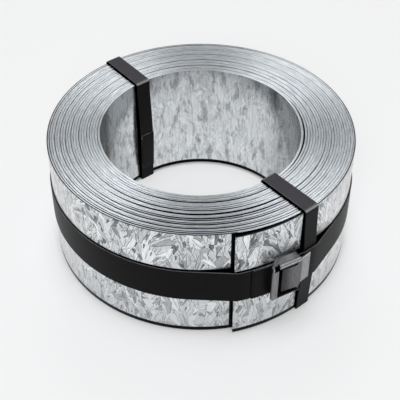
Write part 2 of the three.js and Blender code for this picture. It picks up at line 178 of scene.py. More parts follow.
def new_world():
    """An even light for the coil, and the room with its panels for what sees it directly."""
    made = bpy.data.worlds.new("white surroundings")
    made.use_nodes = True
    tree = made.node_tree
    tree.nodes.clear()
    x, y, z = parts(tree, node(tree, "ShaderNodeTexCoord").outputs["Generated"])
    start, end = PANEL_EDGE
    left = ranged(tree, x, -start, -end, CEILING, LEFT_PANEL, eased=True)
    right = ranged(tree, x, start, end, CEILING, RIGHT_PANEL, eased=True)
    behind = ranged(tree, y, *PANEL_BACK, 1.0, PANEL_BACK_SHARE, eased=True)
    panels = times(tree, largest(tree, left, right), behind)
    room = covered(tree, ranged(tree, z, *PANEL_FOOT, eased=True), 1.0, panels, "FLOAT")
    lit = node(tree, "ShaderNodeBackground", {"Color": SURROUNDINGS, "Strength": SURROUNDINGS_STRENGTH})
    shown = node(tree, "ShaderNodeBackground", {"Color": BACKGROUND, "Strength": room})
    shares = {0: seen_directly(tree), 1: lit.outputs[0], 2: shown.outputs[0]}
    node(tree, "ShaderNodeOutputWorld", {"Surface": node(tree, "ShaderNodeMixShader", shares).outputs[0]})
    return made


floor = new_floor()
scene.world = new_world()

for name, place, width, watts in SOFT_LAMPS:
    lamp = bpy.data.lights.new(name, "AREA")
    lamp.shape = "SQUARE"
    lamp.size = width
    lamp.energy = watts
    holder = bpy.data.objects.new(name, lamp)
    holder.location = place
    holder.rotation_euler = (LAMP_AIM - Vector(place)).to_track_quat("-Z", "Y").to_euler()
    holder.visible_glossy = False  # bare metal reflects the room, and not the lamps
    scene.collection.objects.link(holder)

camera_data = bpy.data.cameras.new("camera")
camera_data.sensor_width = CAMERA_SENSOR
camera_data.lens = CAMERA_LENS
camera = bpy.data.objects.new("camera", camera_data)
camera.location = CAMERA_PLACE
camera.rotation_euler = (math.pi / 2 - CAMERA_DIP, 0.0, 0.0)
scene.collection.objects.link(camera)
scene.camera = camera

# ---- The wound strip ----
# Hot-dip galvanised steel, slit to width and wound on a mandrel, twenty turns from the inner end to
# the outer. The last stretch springs free of the turn below it where no strap holds it.

MM = 0.001
EYE_RADIUS = 100 * MM
STRIP_WIDTH = 130 * MM
STOCK_THICKNESS = 2.5 * MM
STRIP_THICKNESS = STOCK_THICKNESS - 0.05 * MM  # as shown, so that it stays within its solid
TURN_PITCH = 2.65 * MM
TAIL_TURNS = 30 / 360
TURNS = 20 + TAIL_TURNS
STATIONS_PER_TURN = 150
INNER_END_BEARING = 42.5  # bearings are 0 towards -Y and 90 towards +X
TAIL_SPRING = 3.2 * MM
TAIL_EASE = 1.3  # power by which the tail comes away from the turn below
EDGE_RADIUS = 0.42 * MM
EDGE_FACETS = 3
EDGE_UPWARD = 0.5  # a face that points up or down by more than this belongs to a slit edge
EDGE_WANDER = 0.35 * MM  # the strip's edges wander up and down by this much, in two waves
QUICK_WANDER = 2.3  # radians of each wave in one turn
SLOW_WANDER = 0.71
COIL_BOTTOM = 1.85 * MM
COIL_MIDDLE = COIL_BOTTOM + STRIP_WIDTH / 2
SLACK_TURN = 0.88  # the innermost turn has sprung inwards round here
SLACK_REACH = 0.12
SLACK = 1.5 * MM

FRONT_BEARING = 40.3  # of the two straps through the eye
BACK_BEARING = -141.5
STRAP_WIDTH = 16 * MM
BAND_WIDTH = 38 * MM
BUCKLE_BEARING = 28.7


def geometry_tree(name, sizes):
    """A geometry tree with named inputs, each (name, kind, value): the tree and its inputs' sockets."""
    tree = bpy.data.node_groups.new(name, "GeometryNodeTree")
    tree.is_modifier = True
    tree.interface.new_socket("Geometry", in_out="INPUT", socket_type="NodeSocketGeometry")
    tree.interface.new_socket("Geometry", in_out="OUTPUT", socket_type="NodeSocketGeometry")
    for label, kind, value in sizes:
        socket = tree.interface.new_socket(label, in_out="INPUT", socket_type="NodeSocket" + kind)
        if value is not None:
            socket.default_value = value
    return tree, tree.nodes.new("NodeGroupInput").outputs


def stored(tree, geometry, name, value, kind="FLOAT"):
    """The geometry, with the value kept on its points under that name."""
    named = {"Geometry": geometry, "Name": name, "Value": value}
    return node(tree, "GeometryNodeStoreNamedAttribute", named, data_type=kind, domain="POINT").outputs[0]


def kept_number(tree, name):
    return node(tree, "GeometryNodeInputNamedAttribute", {"Name": name}, data_type="FLOAT").outputs[0]


def place_on_mesh(tree):
    return parts(tree, node(tree, "GeometryNodeInputPosition").outputs[0])


def flat_section(tree, thickness, width, edge_radius):
    """The section of a flat strip with rounded edges, each point's share through and across it kept."""
    shape = node(tree, "GeometryNodeCurvePrimitiveQuadrilateral", {"Width": thickness, "Height": width})
    fillets = {"Curve": shape.outputs[0], "Radius": edge_radius, "Count": EDGE_FACETS}
    rounded = node(tree, "GeometryNodeFilletCurve", fillets, mode="POLY").outputs[0]
    x, y, _ = place_on_mesh(tree)
    through = calculate(tree, "DIVIDE", times(tree, x, -1.0), thickness)
    across = calculate(tree, "DIVIDE", y, width)
    return stored(tree, stored(tree, rounded, "through", through), "across", across)


def swept(tree, path, section):
    """The section carried along a level path, standing upright on it, closed at both ends."""
    upright = node(tree, "GeometryNodeSetCurveNormal", {"Curve": path}, mode="Z_UP").outputs[0]
    sweep = {"Curve": upright, "Profile Curve": section, "Fill Caps": True}
    return node(tree, "GeometryNodeCurveToMesh", sweep).outputs[0]


def finished(tree, geometry, material):
    """The geometry made real, shaded smooth and given its material."""
    real = node(tree, "GeometryNodeRealizeInstances", {0: geometry}).outputs[0]
    smooth = node(tree, "GeometryNodeSetShadeSmooth", {0: real}).outputs[0]
    return node(tree, "GeometryNodeSetMaterial", {"Geometry": smooth, "Material": material}).outputs[0]


def wound_radius(tree, size, turn):
    """The strip's middle line: out by a pitch a turn, sprung out at its tail and in at its slack."""
    tight = calculate(tree, "SUBTRACT", size["Turns"], size["Loose Turns"])
    loose = calculate(tree, "DIVIDE", calculate(tree, "SUBTRACT", turn, tight), size["Loose Turns"])
    sprung = times(tree, calculate(tree, "POWER", largest(tree, loose, 0.0), TAIL_EASE), size["Spring"])
    inner = calculate(tree, "MULTIPLY_ADD", turn, size["Pitch"], size["Eye Radius"])
    past_slack = calculate(tree, "SUBTRACT", turn, size["Slack Turn"])
    share = calculate(tree, "DIVIDE", past_slack, size["Slack Reach"])
    slack = largest(tree, calculate(tree, "SUBTRACT", 1.0, times(tree, share, share)), 0.0)
    inwards = times(tree, size["Slack"], -1.0)
    pulled = calculate(tree, "MULTIPLY_ADD", times(tree, slack, slack), inwards, sprung)
    return calculate(tree, "ADD", calculate(tree, "MULTIPLY_ADD", size["Thickness"], 0.5, inner), pulled)


def winding_tree():
    """A flat strip wound outwards from the eye, clockwise seen from above."""
    tree, size = geometry_tree("wind the strip", [
        ("Eye Radius", "Float", EYE_RADIUS),
        ("Thickness", "Float", STRIP_THICKNESS),
        ("Width", "Float", STRIP_WIDTH),
        ("Edge Radius", "Float", EDGE_RADIUS),
        ("Pitch", "Float", TURN_PITCH),
        ("Turns", "Float", TURNS),
        ("Stations per Turn", "Int", STATIONS_PER_TURN),
        ("Start Angle", "Float", math.radians(INNER_END_BEARING - 90)),
        ("Middle Height", "Float", COIL_MIDDLE),
        ("Edge Wander", "Float", EDGE_WANDER),
        ("Loose Turns", "Float", TAIL_TURNS),
        ("Spring", "Float", TAIL_SPRING),
        ("Slack Turn", "Float", SLACK_TURN),
        ("Slack Reach", "Float", SLACK_REACH),
        ("Slack", "Float", SLACK),
        ("Face", "Material", None),
        ("Slit Edge", "Material", None),
    ])
    steps = times(tree, size["Turns"], size["Stations per Turn"])
    points = calculate(tree, "ADD", steps, 1.5)  # one more than the steps, rounded
    line = node(tree, "GeometryNodeMeshLine", {"Count": points}).outputs[0]
    index = node(tree, "GeometryNodeInputIndex").outputs[0]
    turn = calculate(tree, "DIVIDE", index, size["Stations per Turn"])

    radius = wound_radius(tree, size, turn)
    angle = calculate(tree, "MULTIPLY_ADD", turn, -math.tau, size["Start Angle"])
    wave = times(tree, calculate(tree, "SINE", times(tree, turn, QUICK_WANDER)),
                 calculate(tree, "COSINE", times(tree, turn, SLOW_WANDER)))
    place = node(tree, "ShaderNodeCombineXYZ", {
        "X": times(tree, radius, calculate(tree, "COSINE", angle)),
        "Y": times(tree, radius, calculate(tree, "SINE", angle)),
        "Z": calculate(tree, "MULTIPLY_ADD", wave, size["Edge Wander"], size["Middle Height"]),
    }).outputs[0]
    spiral = node(tree, "GeometryNodeSetPosition", {"Geometry": line, "Position": place}).outputs[0]
    mean_radius = calculate(tree, "MULTIPLY_ADD", times(tree, turn, size["Pitch"]), 0.5, size["Eye Radius"])
    length = times(tree, times(tree, turn, math.tau), mean_radius)
    marked = stored(tree, stored(tree, spiral, "turn", turn), "along", length)
    path = node(tree, "GeometryNodeMeshToCurve", {"Mesh": marked}).outputs[0]
    strip = swept(tree, path, flat_section(tree, size["Thickness"], size["Width"], size["Edge Radius"]))

    x, y, z = place_on_mesh(tree)
    out = calculate(tree, "SQRT", calculate(tree, "ADD", times(tree, x, x), times(tree, y, y)))
    laid_flat = {"X": kept_number(tree, "along"), "Y": z, "Z": out}
    on_strip = node(tree, "ShaderNodeCombineXYZ", laid_flat).outputs[0]
    mapped = stored(tree, strip, "on_strip", on_strip, "FLOAT_VECTOR")
    upward = parts(tree, node(tree, "GeometryNodeInputNormal").outputs[0])[2]
    steepness = {0: calculate(tree, "ABSOLUTE", upward), 1: EDGE_UPWARD}
    at_edge = node(tree, "FunctionNodeCompare", steepness, data_type="FLOAT", operation="GREATER_THAN")
    faced = finished(tree, mapped, size["Face"])
    edging = {"Geometry": faced, "Selection": at_edge.outputs[0], "Material": size["Slit Edge"]}
    node(tree, "NodeGroupOutput", {0: node(tree, "GeometryNodeSetMaterial", edging).outputs[0]})
    return tree


def new_piece(name, mesh=None):
    obj = bpy.data.objects.new(name, mesh or bpy.data.meshes.new(name))
    scene.collection.objects.link(obj)
    return obj


def plain_mesh(obj, tree, values):
    """Runs a geometry tree on obj with values for its named inputs, and keeps the result as a mesh."""
    modifier = obj.modifiers.new(tree.name, "NODES")
    modifier.node_group = tree
    sockets = [s for s in tree.interface.items_tree if s.item_type == "SOCKET" and s.in_out == "INPUT"]
    names = {s.name: s.identifier for s in sockets}
    for name, value in values.items():
        modifier[names[name]] = value
    graph = bpy.context.evaluated_depsgraph_get()
    result = obj.evaluated_get(graph)
    made = bpy.data.meshes.new_from_object(result, preserve_all_data_layers=True, depsgraph=graph)
    obj.modifiers.clear()
    obj.data = made
    return obj


def above(tree, value, limit):
    """1 where value is over limit, 0 elsewhere."""
    return calculate(tree, "GREATER_THAN", value, limit)


def vector(tree, operation, *values):
    return node(tree, "ShaderNodeVectorMath", dict(enumerate(values)), operation=operation).outputs[0]


def scaled(tree, colour, share):
    return node(tree, "ShaderNodeVectorMath", {0: colour, 3: share}, operation="SCALE").outputs[0]


def darkened(tree, colour, amount, left):
    """The colour, brought down to a share of itself where amount is 1."""
    return scaled(tree, colour, ranged(tree, amount, 0.0, 1.0, 1.0, left))


def on_surface(tree, name, output="Fac"):
    """What the mesh keeps under that name: a number, or with "Vector" a place."""
    return node(tree, "ShaderNodeAttribute", attribute_name=name).outputs[output]


def noise(tree, place, detail, roughness):
    """Noise with one wave in a unit of the place."""
    sizes = {"Vector": place, "Scale": 1.0, "Detail": detail, "Roughness": roughness}
    return node(tree, "ShaderNodeTexNoise", sizes).outputs[0]


def noise_along(tree, way, scale):
    """Noise in one direction, with this many waves in a unit of it."""
    sizes = {"W": way, "Scale": scale, "Detail": 1.0}
    return node(tree, "ShaderNodeTexNoise", sizes, noise_dimensions="1D").outputs[0]


def toned(tree, value, tones):
    """A colour for the value, from rising tones: each a value and its colour."""
    made = node(tree, "ShaderNodeValToRGB", {0: value})
    elements = made.color_ramp.elements
    elements.remove(elements[1])
    elements[0].position, elements[0].color = tones[0]
    for place, colour in tones[1:]:
        elements.new(place).color = colour
    return made.outputs[0]


def bumped(tree, height, strength, depth):
    sizes = {"Height": height, "Strength": strength, "Distance": depth}
    return node(tree, "ShaderNodeBump", sizes).outputs[0]


def set_surface(tree, sockets):
    """Ends a material in one shader with these values on its sockets."""
    shader = node(tree, "ShaderNodeBsdfPrincipled", sockets)
    node(tree, "ShaderNodeOutputMaterial", {"Surface": shader.outputs[0]})


def within(tree, value, low, high):
    """1 where value is between low and high, 0 elsewhere."""
    return times(tree, above(tree, value, low), below(tree, value, high))


def distance(tree, value, other):
    return calculate(tree, "ABSOLUTE", calculate(tree, "SUBTRACT", value, other))


def outwards(bearing):
    """The level direction out of the coil at a bearing."""
    angle = math.radians(bearing - 90)
    return Vector((math.cos(angle), math.sin(angle)))


def sideways(bearing):
    """The level direction square to that, towards higher bearings."""
    out = outwards(bearing)
    return Vector((-out.y, out.x))


def reach(tree, place, direction):
    """How far a place lies in a level direction."""
    flat = (direction.x, direction.y, 0)
    return node(tree, "ShaderNodeVectorMath", {0: place, 1: flat}, operation="DOT_PRODUCT").outputs["Value"]


SHADOW_PAST_STRAP = 1.5 * MM  # how far the painted shadow reaches past a strap, on one side
SHADE_PAST_BAND = 1.8 * MM  # and how far the painted shade reaches past the band's upper edge
RAGGED_WAVES = 500.0  # in a metre
RAGGED_BY = 3 * MM
OUTER_FACE_FROM = 1.2 * EYE_RADIUS  # the band's painted shade lies outside this radius
TAIL_END_SHADOW = 0.006  # turns past the outer end over which a painted shadow of the tail's end lies on the turn below


def painted_shade_under_straps(tree):
    """1 where a strap lies over the coil: painted shade in the gap under it, and a ragged painted shadow
    beside it, on the side away from the light."""
    spot = place_on_object(tree)
    grimes = []
    for bearing, side in ((FRONT_BEARING, -1), (BACK_BEARING, 1)):
        ahead = reach(tree, spot, outwards(bearing))
        ragged = times(tree, noise_along(tree, ahead, RAGGED_WAVES), -RAGGED_BY)
        to_side = calculate(tree, "MULTIPLY_ADD", reach(tree, spot, sideways(bearing)), side, ragged)
        under = within(tree, to_side, -STRAP_WIDTH / 2 - SHADOW_PAST_STRAP, STRAP_WIDTH / 2)
        grimes.append(times(tree, above(tree, ahead, 0.0), under))
    return largest(tree, *grimes)


def painted_shade_under_band(tree, height, out):
    """Painted shade under the band and just above its upper edge, on the outermost turns."""
    top = COIL_MIDDLE + BAND_WIDTH / 2 + SHADE_PAST_BAND
    level = within(tree, height, COIL_MIDDLE - BAND_WIDTH / 2, top)
    return times(tree, level, above(tree, out, OUTER_FACE_FROM))


def between_turns(tree, turn, through):
    """1 on the faces of the strip that the next turn out or in covers, painted black as shade where no
    light comes, and a little past the tail's end as its painted shadow.
    """
    outer = times(tree, above(tree, through, 0.0), below(tree, turn, TURNS - 1 + TAIL_END_SHADOW))
    inner = times(tree, below(tree, through, 0.0), above(tree, turn, 1.0))
    return largest(tree, outer, inner)


# Each layer of zinc crystals, the lowest first: the spacing of the grid that they stand in, their width and
# length, and the grid's shift, all in millimetres; the share of its cells that hold one; and the dullest.
CRYSTAL_LAYERS = (
    (8.0, 6.0, 20.0, 11.0, 1.0, 0.0),
    (24.0, 14.0, 48.0, 37.0, 0.9, 0.36),
    (18.0, 11.0, 38.0, 71.0, 0.8, 0.30),
    (13.0, 5.0, 26.0, 93.0, 0.7, 0.0),
    (7.5, 2.0, 10.0, 157.0, 0.4, 0.0),
)
GROUND_BRIGHTNESS = 0.55  # of what no crystal covers
GROUND_DEPTH = 5.0  # millimetres: far from any outline
SEED_SPACING = 40.0  # millimetres between the seeds that they grow away from
UPRIGHTNESS = 26.0  # millimetres: the higher, the less they lean away
SCATTER = 1.15  # radians of spread in their lean
WIDEST = 0.8  # share of a crystal's length at which it is widest
CRYSTAL_TONES = (
    (0.0, (0.22, 0.235, 0.245, 1)),
    (0.24, (0.31, 0.325, 0.335, 1)),
    (0.30, (0.44, 0.46, 0.47, 1)),
    (0.46, (0.55, 0.57, 0.58, 1)),
    (0.52, (0.68, 0.70, 0.715, 1)),
    (1.0, (0.89, 0.91, 0.925, 1)),
)


def laid_crystals(tree, place, seed, under, spacing, width, length, shift, share_of_cells, dullest):
    """Pointed crystals laid over what is under them, each given by its brightness, the distance in from its
    outline and the place on it."""
    shifted = (shift, 2 * shift, 0)
    moved = vector(tree, "ADD", place, shifted)
    cell = node(tree, "ShaderNodeTexVoronoi", {"Vector": moved, "Scale": 1 / spacing},
                voronoi_dimensions="2D", feature="F1").outputs
    shine, presence, turn = node(tree, "ShaderNodeSeparateColor", {0: cell["Color"]}).outputs
    grown = vector(tree, "SUBTRACT", vector(tree, "SUBTRACT", cell["Position"], shifted), seed)
    aside, up, _ = parts(tree, grown)
    steep = calculate(tree, "ADD", calculate(tree, "ABSOLUTE", up), UPRIGHTNESS)
    lean = calculate(tree, "MULTIPLY_ADD", calculate(tree, "SUBTRACT", turn, 0.5), SCATTER,
                     calculate(tree, "ARCTAN2", aside, steep))
    from_cell = vector(tree, "SUBTRACT", moved, cell["Position"])
    leaning = {"Vector": from_cell, "Angle": lean}
    turned = node(tree, "ShaderNodeVectorRotate", leaning, rotation_type="Z_AXIS").outputs[0]
    x, y, _ = parts(tree, turned)
    share = calculate(tree, "MULTIPLY_ADD", y, 1 / length, 0.5)
    rise = calculate(tree, "DIVIDE", share, WIDEST)
    fall = calculate(tree, "DIVIDE", calculate(tree, "SUBTRACT", 1.0, share), 1 - WIDEST)
    half_width = times(tree, calculate(tree, "MINIMUM", rise, fall), width / 2)
    inward = calculate(tree, "SUBTRACT", half_width, calculate(tree, "ABSOLUTE", x))
    here = times(tree, above(tree, inward, 0.0), below(tree, presence, share_of_cells))
    brightness = calculate(tree, "MULTIPLY_ADD", shine, 1 - dullest, dullest)
    return (covered(tree, here, under[0], brightness, "FLOAT"),
            covered(tree, here, under[1], inward, "FLOAT"),
            covered(tree, here, under[2], turned, "VECTOR"))


BRANCH_GRAIN = (0.8, 0.12, 1)  # waves in a millimetre across and along a crystal
BRANCH_SPAN = (0.36, 0.58)
BRANCH_TONE = (-0.14, 0.05)
HATCH_SPACING = 1.4  # millimetres
HATCH_BELOW = 0.44  # brightness under which a crystal is hatched
HATCH_LEFT = 0.76
OUTLINE_WIDTH = 0.6  # millimetres
OUTLINE_GAPS = 0.41  # streaks weaker than this leave the outline open
OUTLINE_LEFT = 0.34


def crystal_face(tree, place, in_mm):
    """The outer face's colour, with the brightness of its crystals and the streaks on them."""
    seed = node(tree, "ShaderNodeTexVoronoi", {"Vector": in_mm, "Scale": 1 / SEED_SPACING},
                voronoi_dimensions="2D", feature="F1").outputs["Position"]
    layer = (GROUND_BRIGHTNESS, GROUND_DEPTH, place)
    for sizes in CRYSTAL_LAYERS:
        layer = laid_crystals(tree, place, seed, layer, *sizes)
    brightness, edge, on_crystal = layer
    streak = noise(tree, vector(tree, "MULTIPLY", on_crystal, BRANCH_GRAIN), detail=2.0, roughness=0.6)
    branches = ranged(tree, streak, *BRANCH_SPAN, *BRANCH_TONE)
    feathered = vector(tree, "ADD", toned(tree, brightness, CRYSTAL_TONES), branches)
    rows = calculate(tree, "SINE", times(tree, parts(tree, on_crystal)[1], math.tau / HATCH_SPACING))
    hatch = times(tree, largest(tree, rows, 0.0), below(tree, brightness, HATCH_BELOW))
    outline = times(tree, below(tree, edge, OUTLINE_WIDTH), above(tree, streak, OUTLINE_GAPS))
    lined = darkened(tree, darkened(tree, feathered, hatch, HATCH_LEFT), outline, OUTLINE_LEFT)
    return lined, brightness, streak


SMUDGE_GRAIN = (0.11, 0.037, 1)  # waves in a millimetre
STROKE_GRAIN = (0.6, 0.04, 1)
INNER_TONES = ((0.39, (0.40, 0.42, 0.435, 1)), (0.465, (0.78, 0.81, 0.83, 1)))
STROKE_SPAN = (0.34, 0.52)
INNER_STROKES = (0.68, 1.04)
BRUSHED_STROKES = (0.62, 0.80)
BRUSHED = (95 * MM, 140 * MM)  # distances to the side at which the outer face starts to be brushed, and is
BRUSHED_SHARE = 0.6
INNER_CRYSTALS = 0.3  # share of crystals that show through on the inner face
EYE_SIDE_SHADE = (0.68 * EYE_RADIUS, 0.98 * EYE_RADIUS)  # distances to the side over which painted shade darkens it at the eye's left and right
EYE_SIDE_SHADE_MIDDLE = -4 * MM  # the distances are counted from here
EYE_SIDE_SHADE_LEFT = 0.6
SHADED = (COIL_MIDDLE + 25 * MM, COIL_MIDDLE + 65 * MM)  # heights over which painted shade darkens its upper edge
SHADED_LEFT = 0.78
SCUFFED_TONE = (0.58, 0.60, 0.615, 1)
SCUFFED_SHARE = 0.45  # at the bottom edge


def zinc_faces(tree, place, at, height, inside, lined):
    """The colour of both faces: crystals outside, brushed at the sides of the coil and scuffed low down,
    and soft upright smudges inside, with painted shade at the eye's left and right sides and towards the
    top."""
    strokes = noise(tree, vector(tree, "MULTIPLY", place, STROKE_GRAIN), detail=3.0, roughness=0.7)
    smudge = noise(tree, vector(tree, "MULTIPLY", place, SMUDGE_GRAIN), detail=3.0, roughness=0.6)
    stroked = ranged(tree, strokes, *STROKE_SPAN, *INNER_STROKES)
    soft = scaled(tree, toned(tree, smudge, INNER_TONES), stroked)
    inner = covered(tree, INNER_CRYSTALS, soft, lined)
    to_side = distance(tree, at[0], EYE_SIDE_SHADE_MIDDLE)
    inner = darkened(tree, inner, ranged(tree, to_side, *EYE_SIDE_SHADE, eased=True), EYE_SIDE_SHADE_LEFT)
    inner = darkened(tree, inner, ranged(tree, height, *SHADED), SHADED_LEFT)

    brushed = ranged(tree, calculate(tree, "ABSOLUTE", at[0]), *BRUSHED, 0.0, BRUSHED_SHARE, eased=True)
    outer = covered(tree, brushed, lined, ranged(tree, strokes, *STROKE_SPAN, *BRUSHED_STROKES))
    scuffed = ranged(tree, height, COIL_MIDDLE, COIL_BOTTOM, 0.0, SCUFFED_SHARE)
    outer = covered(tree, scuffed, outer, SCUFFED_TONE)
    return covered(tree, inside, outer, inner)


# a soft painted shadow of the buckle on the zinc above it
BUCKLE_SHADOW_HEIGHT = COIL_MIDDLE + 20 * MM
BUCKLE_SHADOW_ASIDE = -5 * MM  # to the side of the buckle's middle
BUCKLE_SHADOW_SIDE = (26 * MM, 12 * MM)  # distances to the side at which it starts, and is full
BUCKLE_SHADOW_RISE = (14 * MM, 2 * MM)  # and up or down
BUCKLE_SHADOW_STRENGTH = 0.62
BUCKLE_SHADOW_LEFT = 0.2


def painted_buckle_shadow(tree, at_place, at, height):
    """How far a place lies in the painted shadow of the buckle, on the zinc above it."""
    aside = distance(tree, reach(tree, at_place, sideways(BUCKLE_BEARING)), BUCKLE_SHADOW_ASIDE)
    beside = ranged(tree, aside, *BUCKLE_SHADOW_SIDE, eased=True)
    over = ranged(tree, distance(tree, height, BUCKLE_SHADOW_HEIGHT), *BUCKLE_SHADOW_RISE, eased=True)
    return times(tree, beside, over, below(tree, at[1], 0.0), BUCKLE_SHADOW_STRENGTH)


RUFFLE_SCALE = 0.8  # waves in a millimetre along the crystals' outlines
FOOT_SHADOW = 5 * MM  # height of the painted contact shadow along the coil's foot
RIM_WIDTH = 0.5 * MM  # of the dark line along the top of the outer face
RIM_DARKNESS = 0.7
ZINC_ROUGHNESS = (0.42, 0.32)  # of the dullest and of the brightest crystal
INNER_SMOOTHER = 0.18
ZINC_METALLIC = 0.92  # the rest is a dull film of oxide


def zinc_material():
    """Hot-dip zinc: pointed crystals that grew over each other from scattered seeds, each of its own
    brightness and hatched by its branches. The face that lay inside cooled slower and came out softer."""
    made, tree = new_material("galvanised zinc")
    on_strip = on_surface(tree, "on_strip", "Vector")
    _, height, out = parts(tree, on_strip)
    through = on_surface(tree, "through")
    turn = on_surface(tree, "turn")
    inside = below(tree, through, 0.0)
    at_place = place_on_object(tree)
    at = parts(tree, at_place)
    in_mm = vector(tree, "MULTIPLY", on_strip, (1 / MM, 1 / MM, 0))
    ruffle = node(tree, "ShaderNodeTexNoise", {"Vector": in_mm, "Scale": RUFFLE_SCALE, "Detail": 2.0})
    ruffled_by = vector(tree, "SUBTRACT", ruffle.outputs["Color"], (0.5, 0.5, 0.5))
    place = vector(tree, "MULTIPLY_ADD", ruffled_by, (1, 1, 0), in_mm)
    lined, brightness, streak = crystal_face(tree, place, in_mm)
    faced = zinc_faces(tree, place, at, height, inside, lined)

    top_line = above(tree, on_surface(tree, "across"), 0.5 - RIM_WIDTH / STRIP_WIDTH)
    outer_rim_darkness = calculate(tree, "MULTIPLY_ADD", inside, -RIM_DARKNESS, RIM_DARKNESS)
    rim = times(tree, top_line, outer_rim_darkness, below(tree, turn, TURNS - TAIL_TURNS))
    # painted shade under the straps and the band, along the foot and on covered faces, with the dark rim
    # line
    painted_shade = largest(tree, painted_shade_under_straps(tree), painted_shade_under_band(tree, height, out),
                    below(tree, height, COIL_BOTTOM + FOOT_SHADOW), between_turns(tree, turn, through), rim)
    # the buckle's painted shadow
    buckle_shadowed = darkened(tree, faced, painted_buckle_shadow(tree, at_place, at, height), BUCKLE_SHADOW_LEFT)
    rough = ranged(tree, brightness, 0.0, 1.0, *ZINC_ROUGHNESS)
    set_surface(tree, {
        "Base Color": darkened(tree, buckle_shadowed, painted_shade, 0.0),
        "Roughness": calculate(tree, "MULTIPLY_ADD", inside, -INNER_SMOOTHER, rough),
        "Metallic": ZINC_METALLIC,
        "Normal": bumped(tree, streak, strength=0.12, depth=0.4 * MM)})
    return made


SLIT_GRAIN = (70, 0, 2500)  # waves in a metre along the strip and through it
SLIT_TONES = ((0.36, (0.44, 0.48, 0.51, 1)), (0.58, (0.90, 0.93, 0.96, 1)))
SPECK_GRAIN = (260, 0, 900)
SPECKS_ABOVE = 0.68
SEAM_START = 1.15  # turns from one broad seam to the next at the inner end
SEAM_DRIFT = 0.055  # and how much more with each turn
SEAM_UNEVEN = (1.3, 3.0)  # waves in a turn, and radians
SEAM_SPAN = (0.1, 0.8)  # height of the wave in a closed and an open seam
SEAM_FROM = (0.5, -0.1)  # the share through the strip past which its edge is black there
SLACK_BEARING = -3  # the winding is slackest at the front
SLACK_SPAN = (0.0, 0.85)
SLACK_SEAMS = (0.4, 1.0)  # how black seams are at the back and the front
TIGHT_SPAN = (0.70, 0.97)
TIGHT_BY = (0.32, 0.0)  # the share through the strip by which seams are narrower than at the front
THIN_SEAM_FROM = 0.465
THIN_SEAM = 0.35  # how black even a closed seam is
OUTER_RIM = 0.9  # how black the outer half of the outermost turn's edge is
SPRUNG_TURNS = 0.075  # the stretch of the tail whose edge carries the painted shade of the gap below it, black from inside up to SPRUNG_BELOW
SPRUNG_BELOW = 0.15
SLIT_EDGE_LEFT = 0.01


def slit_edge_material():
    """Bare sheared steel with a smear of zinc, drawn out along the strip by the slitting knives. The seams
    between turns are painted black as the shade in their gaps, some broad and some hardly open."""
    made, tree = new_material("slit edge")
    on_strip = on_surface(tree, "on_strip", "Vector")
    through = on_surface(tree, "through")
    turn = on_surface(tree, "turn")
    streak = noise(tree, vector(tree, "MULTIPLY", on_strip, SLIT_GRAIN), detail=4.0, roughness=0.65)
    speck = noise(tree, vector(tree, "MULTIPLY", on_strip, SPECK_GRAIN), detail=1.0, roughness=0.5)
    tone = covered(tree, above(tree, speck, SPECKS_ABOVE), toned(tree, streak, SLIT_TONES), (1, 1, 1, 1))

    level = vector(tree, "MULTIPLY", place_on_object(tree), (1, 1, 0))
    out = vector(tree, "NORMALIZE", level)
    facing = reach(tree, out, outwards(SLACK_BEARING))
    slack = ranged(tree, facing, *SLACK_SPAN, *SLACK_SEAMS)
    tight = ranged(tree, facing, *TIGHT_SPAN, *TIGHT_BY)
    waves, swing = SEAM_UNEVEN
    between = calculate(tree, "MULTIPLY_ADD", turn, SEAM_DRIFT, SEAM_START)
    drift = calculate(tree, "LOGARITHM", between, math.e)
    uneven = times(tree, noise_along(tree, turn, waves), swing)
    phase = calculate(tree, "MULTIPLY_ADD", drift, math.tau / SEAM_DRIFT, uneven)
    seam = ranged(tree, calculate(tree, "SINE", phase), *SEAM_SPAN, *SEAM_FROM)
    open_seam = times(tree, above(tree, through, calculate(tree, "ADD", seam, tight)), slack)
    at_rim = above(tree, calculate(tree, "ABSOLUTE", through), THIN_SEAM_FROM)
    thin_seam = times(tree, at_rim, times(tree, slack, THIN_SEAM))
    rim = times(tree, above(tree, turn, TURNS - 1), above(tree, through, 0.0), OUTER_RIM)
    sprung = times(tree, above(tree, turn, TURNS - SPRUNG_TURNS), below(tree, through, SPRUNG_BELOW))
    # painted shade in the open seams, under the straps and under the sprung tail, with the black outer rim
    painted_shade = largest(tree, open_seam, thin_seam, painted_shade_under_straps(tree), rim, sprung)
    set_surface(tree, {
        "Base Color": darkened(tree, tone, painted_shade, SLIT_EDGE_LEFT),
        "Roughness": 0.6,
        "Metallic": 0.9,
        "Anisotropic": 0.9,
        "Tangent": out,
        "Normal": bumped(tree, streak, strength=0.3, depth=0.2 * MM)})
    return made


coil = new_piece("wound_strip")
plain_mesh(coil, winding_tree(), {"Face": zinc_material(), "Slit Edge": slit_edge_material()})
weights = coil.modifiers.new("flat faces stay flat", "WEIGHTED_NORMAL")
weights.keep_sharp = True
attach(coil, "root")
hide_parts("strip_coil")

# ---- The straps through the eye ----
# Black painted steel strapping, drawn tight over the wall of the coil, so that it bends sharply over
# the top and bottom edges. Its two ends are spot-welded over each other inside the eye.

STRAP_THICKNESS = 1.2 * MM
STRAP_EDGE_RADIUS = 0.3 * MM
STRAP_BEND = 3.0 * MM  # inside radius over the coil's top corners
FOOT_BEND = 1.0 * MM  # and under the coil
STAND_OFF = 1.15 * MM  # the bends hold the strap this far off the coil
BOW = 2.4 * MM  # its upright stretches stand this much further off at mid-height
ARC_STEPS = 8
SIDE_STEPS = 16
LAP_START = 7  # the step of the inner side at which the lapped end starts


